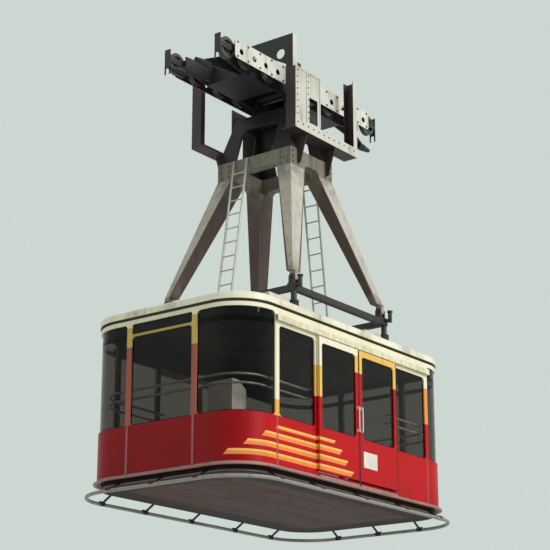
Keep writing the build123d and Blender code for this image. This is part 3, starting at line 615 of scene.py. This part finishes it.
def addBand(bm, grow, part):  # thin band round the cabin's plan, grown by a little
    halfX, halfY = cabin["halfWidth"] + grow, cabin["halfLength"] + grow
    verts = addBox(bm, Vector((-halfX, -halfY, part["low"])), Vector((halfX, halfY, part["high"])))
    upright = [edge for edge in edgesOf(verts)
               if abs(edge.verts[0].co.z - edge.verts[1].co.z) > 1e-6]
    roundEdges(bm, upright, cabin["cornerRadius"] + grow, 16)
    caps = [face for face in bm.faces if abs(face.normal.z) > 0.9]
    bmesh.ops.delete(bm, geom=caps, context="FACES_ONLY")
    bmesh.ops.recalc_face_normals(bm, faces=bm.faces)
    bmesh.ops.solidify(bm, geom=bm.faces[:], thickness=part["reach"] + 0.001)


bottomTrim = {"reach": 0.052, "low": -6.478, "high": -6.461}
panTrim = {"reach": 0.006, "low": -6.556, "high": -6.532}
endStrips = {"half": 0.018, "proud": 0.008, "foot": 0.012, "edge": 0.002}


def makeTrim():
    bm = bmesh.new()
    addBand(bm, bottomTrim["reach"], bottomTrim)
    newPiece("bottomTrim", bm, "trimPaint", "cabin")
    bm = bmesh.new()
    addBand(bm, panTrim["reach"] - cabin["panInset"], panTrim)
    newPiece("panTrim", bm, "panLine", "cabin")
    bm = bmesh.new()
    half = endStrips["half"]
    for x in (-cabin["endPost"], cabin["endPost"]):
        for side in (-1, 1):
            face = side * cabin["halfLength"]
            addBar(bm, (x - half, face, cabin["bottom"] + endStrips["foot"]),
                   (x + half, face + side * endStrips["proud"], cabin["bottom"] + cabin["sill"]),
                   endStrips["edge"])
    newPiece("endStrips", bm, "mutedStrip", "cabin")


makeTrim()
print("cabin trim made")

# What is fixed on a door leaf. near and far are measured from the middle of the doorway, low and high
# are heights, and proud is how far it stands out from the leaf.
edgeSeal = {"places": ((0.004, 0.018), (1.012, 1.026)), "low": 0.02, "high": 2.085, "proud": 0.003,
            "edge": 0.0015}
footStrip = {"near": 0.02, "far": 1.01, "low": 0.018, "high": 0.046, "proud": 0.004, "edge": 0.0015}
noticePlate = {"near": 0.10, "far": 0.46, "low": 0.32, "high": 0.56, "proud": 0.003, "edge": 0.001}
pull = {"at": 0.045, "height": 1.02, "length": 0.34, "radius": 0.011, "stand": 0.034, "past": 0.02,
        "foot": 0.005}


def makeLeaf(side, end):  # side 1 is +X, end 1 is the leaf that lies towards +Y
    name = "leaf_" + ("right" if side > 0 else "left") + ("_rear" if end > 0 else "_front")
    face = side * cabin["leafOuter"]
    out = Vector((side, 0, 0))

    def addFlat(bm, part, near, far):
        addBar(bm, (face, end * near, cabin["bottom"] + part["low"]),
               (face + side * part["proud"], end * far, cabin["bottom"] + part["high"]), part["edge"])

    bm = bmesh.new()
    for near, far in edgeSeal["places"]:
        addFlat(bm, edgeSeal, near, far)
    newPiece("edgeSeals_" + name, bm, "rubber", name)
    bm = bmesh.new()
    addFlat(bm, footStrip, footStrip["near"], footStrip["far"])
    newPiece("footStrip_" + name, bm, "trimPaint", name)
    bm = bmesh.new()
    low = Vector((face, end * pull["at"], cabin["bottom"] + pull["height"] - pull["length"] / 2))
    high = low + Vector((0, 0, pull["length"]))
    stand, past = out * pull["stand"], Vector((0, 0, pull["past"]))
    addRod(bm, low + stand - past, high + stand + past, pull["radius"])
    for foot in (low, high):
        addRod(bm, foot, foot + stand, pull["radius"] * 0.8, segments=12)
        addRod(bm, foot, foot + out * pull["foot"], pull["radius"] * 2, segments=16)
    newPiece("pull_" + name, bm, "handrailSteel", name)
    if side == end:  # the blank notice plate is on the leaf at the far end of each side
        bm = bmesh.new()
        addFlat(bm, noticePlate, noticePlate["near"], noticePlate["far"])
        newPiece("noticePlate_" + name, bm, "plateFace", name)


for side in (-1, 1):
    for end in (-1, 1):
        makeLeaf(side, end)
print("door leaves fitted")

# Ribs across the roof: place along it and half length. Each is let into the crown a little.
roofRib = {"places": ((-2.25, 1.2125), (-1.2, 1.08), (-0.52, 1.30), (0.0, 1.30), (0.52, 1.30), (1.2, 1.08),
                      (2.25, 1.2125)), "half": 0.014, "height": 0.012, "let": 0.004, "edge": 0.004}
# Louvres in the ends of the hoods. A hood: x, y, width, length, height
louvre = {"hoods": ((1.10, -1.56, 0.38, 0.54, 0.15), (1.15, 0.85, 0.32, 0.50, 0.125)), "rows": 4,
          "foot": 0.24, "pitch": 0.15, "taper": 0.0072, "reach": 0.3, "half": 0.008, "height": 0.006,
          "edge": 0.002}


def makeRoof():
    bm = bmesh.new()
    for y, reach in roofRib["places"]:
        addBar(bm, (-reach, y - roofRib["half"], cabin["crownTop"] - roofRib["let"]),
               (reach, y + roofRib["half"], cabin["crownTop"] + roofRib["height"]), roofRib["edge"])
    newPiece("roofRibs", bm, "roof", "cabin")
    bm = bmesh.new()
    for x, y, width, length, height in louvre["hoods"]:
        for turned in (1, -1):
            for row in range(louvre["rows"]):
                z = cabin["crownTop"] + height * (louvre["foot"] + louvre["pitch"] * row)
                for end in (-1, 1):
                    at = turned * y + end * (length / 2 - louvre["taper"] * row)
                    reach = width * louvre["reach"]
                    addBar(bm, (turned * x - reach, at - louvre["half"], z),
                           (turned * x + reach, at + louvre["half"], z + louvre["height"]), louvre["edge"])
    newPiece("hoodLouvres", bm, "hoodPaint", "cabin")


makeRoof()
print("roof fitted")

# Sleeves on the guard ring where its arms meet it. x, y and z are the middle of its tube.
ringClamp = {"x": 1.66, "y": 2.84, "z": -6.66, "tube": 0.027, "radius": 0.036, "half": 0.045,
             "sideArms": (-2.06, -1.10, 0.0, 1.10, 2.06), "endArms": (-0.80, 0.0, 0.80)}


def makeRingClamps():
    bm = bmesh.new()
    radius, half = ringClamp["radius"], ringClamp["half"]
    inset = radius - ringClamp["tube"]  # keeps the sleeves inside the tube's outline
    z = ringClamp["z"] + inset
    for side in (-1, 1):
        x, y = side * (ringClamp["x"] - inset), side * (ringClamp["y"] - inset)
        for arm in ringClamp["sideArms"]:
            addRod(bm, (x, arm - half, z), (x, arm + half, z), radius, segments=20)
        for arm in ringClamp["endArms"]:
            addRod(bm, (arm - half, y, z), (arm + half, y, z), radius, segments=20)
    newPiece("ringClamps", bm, "rubber", "cabin")


makeRingClamps()
print("guard ring fitted")

# Strips and bolts on the platforms' guard plates, as at +X, where they lie at negative y, and turned
# by half a turn to the other side
guardRib = {"face": 0.96, "low": -0.66, "high": 0.19, "rib": -0.44, "ribHalf": 0.016, "ribProud": 0.012,
            "edges": (-0.725, -0.085), "edgeHalf": 0.012, "edgeProud": 0.008, "topStrip": 0.024,
            "rounding": 0.002}
guardBolt = {"size": 0.011, "columns": (-0.395, -0.685), "rows": 8, "firstRow": -0.60, "rowPitch": 0.105,
             "deckStart": -0.68, "deckPitch": 0.14, "deckCount": 12, "deckZ": -0.745}


def makeGuards():
    bm = bmesh.new()
    studs = bmesh.new()
    low, high = guardRib["low"], guardRib["high"]
    near, far = guardRib["edges"]
    strips = [(guardRib["rib"], guardRib["ribHalf"], guardRib["ribProud"], low)]
    strips += [(y, guardRib["edgeHalf"], guardRib["edgeProud"], low) for y in (near, far)]
    strips.append(((near + far) / 2, (far - near) / 2, guardRib["edgeProud"], high - guardRib["topStrip"]))
    spots = [(y, guardBolt["firstRow"] + row * guardBolt["rowPitch"])
             for row in range(guardBolt["rows"]) for y in guardBolt["columns"]]
    spots += [(guardBolt["deckStart"] + row * guardBolt["deckPitch"], guardBolt["deckZ"])
              for row in range(guardBolt["deckCount"])]
    for side in (-1, 1):
        face = side * guardRib["face"]
        for y, half, proud, foot in strips:
            addBar(bm, (face, side * (y - half), foot), (face + side * proud, side * (y + half), high),
                   guardRib["rounding"])
        for y, z in spots:
            addBolt(studs, (face, side * y, z), (side, 0, 0), guardBolt["size"])
    newPiece("guardRibs", bm, "platformPaint", "cabin")
    newPiece("guardBolts", studs, "boltSteel", "cabin")


pinCap = {"face": 0.634, "z": 0.18, "thickness": 0.006, "radius": 0.05, "bolts": 4, "circle": 0.032,
          "start": 0.4, "boltSize": 0.008}


def makePinCaps():
    bm = bmesh.new()
    for side in (-1, 1):
        centre = Vector((side * pinCap["face"], 0, pinCap["z"]))
        top = centre + Vector((side * pinCap["thickness"], 0, 0))
        addRod(bm, centre, top, pinCap["radius"], segments=32)
        for turn in range(pinCap["bolts"]):
            angle = turn * 2 * pi / pinCap["bolts"] + pinCap["start"]
            spot = top + Vector((0, cos(angle), sin(angle))) * pinCap["circle"]
            addBolt(bm, spot, (side, 0, 0), pinCap["boltSize"])
    newPiece("pinCaps", bm, "pinSteel", "carriage")


sidePlateBolt = {"face": 0.614, "along": (0.60, 0.90, 1.20, 1.50, 1.76), "rows": (0.065, 0.305),
                 "size": 0.016}
wheelBolt = {"wheels": 8, "count": 6, "circle": 0.095, "web": 0.011, "size": 0.010}
footBolt = {"x": 1.215, "y": 1.15, "z": -3.56, "across": 0.045, "along": 0.06, "size": 0.016}
headBolt = {"halfX": 0.73, "halfY": 0.56, "across": (0.52, 0.66), "along": (0.36, 0.50),
            "rows": (-1.11, -1.20, -1.29), "size": 0.018}


def bothWays(places):
    return [-place for place in reversed(places)] + list(places)


def makeCarriageBolts():
    bm = bmesh.new()
    for side in (-1, 1):
        for y in bothWays(sidePlateBolt["along"]):
            for z in sidePlateBolt["rows"]:
                addBolt(bm, (side * sidePlateBolt["face"], y, z), (side, 0, 0), sidePlateBolt["size"])
    newPiece("sidePlateBolts", bm, "boltSteel", "carriage")


def makeWheelBolts():
    for word in ("right", "left"):
        for number in range(1, wheelBolt["wheels"] + 1):
            wheel = "wheel_%s_%d" % (word, number)
            low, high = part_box(wheel)
            bm = bmesh.new()
            for turn in range(wheelBolt["count"]):
                angle = turn * 2 * pi / wheelBolt["count"]
                spot = (low + high) / 2 + Vector((0, cos(angle), sin(angle))) * wheelBolt["circle"]
                for face in (-1, 1):
                    addBolt(bm, spot + Vector((face * wheelBolt["web"], 0, 0)), (face, 0, 0),
                            wheelBolt["size"])
            newPiece("wheelBolts_%s_%d" % (word, number), bm, "boltSteel", wheel)


def makeHangerBolts():
    bm = bmesh.new()
    for x in bothWays([footBolt["x"]]):
        for y in bothWays([footBolt["y"]]):
            for across in bothWays([footBolt["across"]]):
                for along in bothWays([footBolt["along"]]):
                    addBolt(bm, (x + across, y + along, footBolt["z"]), (0, 0, 1), footBolt["size"])
    newPiece("footBolts", bm, "boltSteel", "cabin")
    bm = bmesh.new()
    for side in (-1, 1):
        for z in headBolt["rows"]:
            for x in bothWays(headBolt["across"]):
                addBolt(bm, (x, side * headBolt["halfY"], z), (0, side, 0), headBolt["size"])
            for y in bothWays(headBolt["along"]):
                addBolt(bm, (side * headBolt["halfX"], y, z), (side, 0, 0), headBolt["size"])
    newPiece("headFrameBolts", bm, "boltSteel", "cabin")


makeGuards()
makePinCaps()
makeCarriageBolts()
makeWheelBolts()
makeHangerBolts()
print("bolts set")

view = {"eye": (14.99, -19.89, -10.79), "aim": (0.0, 0.0, -2.9), "lens": 108.0, "reach": 2000}
light = {"toSun": (0.85, 0.10, 0.5), "sun": 2.2, "sunAngle": 28.0, "toFill": (-0.5, -0.8, 0.3),
         "fill": 0.2, "fillAngle": 60.0, "sky": (0.97, 1.0, 0.99, 1.0), "ambient": 0.4,
         "backdrop": (0.61, 0.68, 0.645, 1.0)}
ground = {"z": -10.9, "size": 400, "pale": "E6EDE9", "patch": "DDE4DF"}


def addCamera():
    camera = bpy.data.objects.new("camera", bpy.data.cameras.new("camera"))
    camera.location = view["eye"]
    toward = Vector(view["aim"]) - Vector(view["eye"])
    camera.rotation_euler = toward.to_track_quat("-Z", "Y").to_euler()
    camera.data.lens = view["lens"]
    camera.data.clip_end = view["reach"]
    bpy.context.scene.collection.objects.link(camera)
    bpy.context.scene.camera = camera


def addSun(name, toward, strength, angle):
    lamp = bpy.data.lights.new(name, "SUN")
    lamp.energy = strength
    lamp.angle = radians(angle)
    holder = bpy.data.objects.new(name, lamp)
    holder.rotation_euler = Vector(toward).to_track_quat("Z", "Y").to_euler()
    bpy.context.scene.collection.objects.link(holder)


def addSky():  # dim light all round, and a pale backdrop to the camera, in metal and through glass
    world = bpy.data.worlds.new("sky")
    world.use_nodes = True
    bpy.context.scene.world = world
    sky = Tree(world.node_tree)
    rays = sky.node("ShaderNodeLightPath").socket.node.outputs
    seen = Wire(sky, rays["Is Camera Ray"]).most(Wire(sky, rays["Is Glossy Ray"]))
    seen = seen.most(Wire(sky, rays["Is Transmission Ray"]))
    dim = sky.node("ShaderNodeBackground", None, {"Color": light["sky"], "Strength": light["ambient"]})
    pale = sky.node("ShaderNodeBackground", None, {"Color": light["backdrop"], "Strength": 1.0})
    both = sky.node("ShaderNodeMixShader", None, {0: seen, 1: dim, 2: pale})
    world.node_tree.links.new(both.socket, world.node_tree.nodes["World Output"].inputs["Surface"])


def addGround():
    bm = bmesh.new()
    bmesh.ops.create_grid(bm, x_segments=1, y_segments=1, size=ground["size"],
                          matrix=Matrix.Translation((0, 0, ground["z"])))
    mesh = bpy.data.meshes.new("floorPlane")
    bm.to_mesh(mesh)
    bm.free()
    pale = Finish("floorPale", Roughness=0.9)
    pale.feed("Base Color", pale.mix(pale.noise(0.6, 3.0) * 0.2, colour(ground["pale"]),
                                     colour(ground["patch"])))
    mesh.materials.append(pale.material)
    plane = bpy.data.objects.new("floorPlane", mesh)
    bpy.context.scene.collection.objects.link(plane)


addCamera()
addSun("sun", light["toSun"], light["sun"], light["sunAngle"])
addSun("fill", light["toFill"], light["fill"], light["fillAngle"])
addSky()
addGround()
bpy.context.scene.view_settings.view_transform = "Standard"
print("stage set")
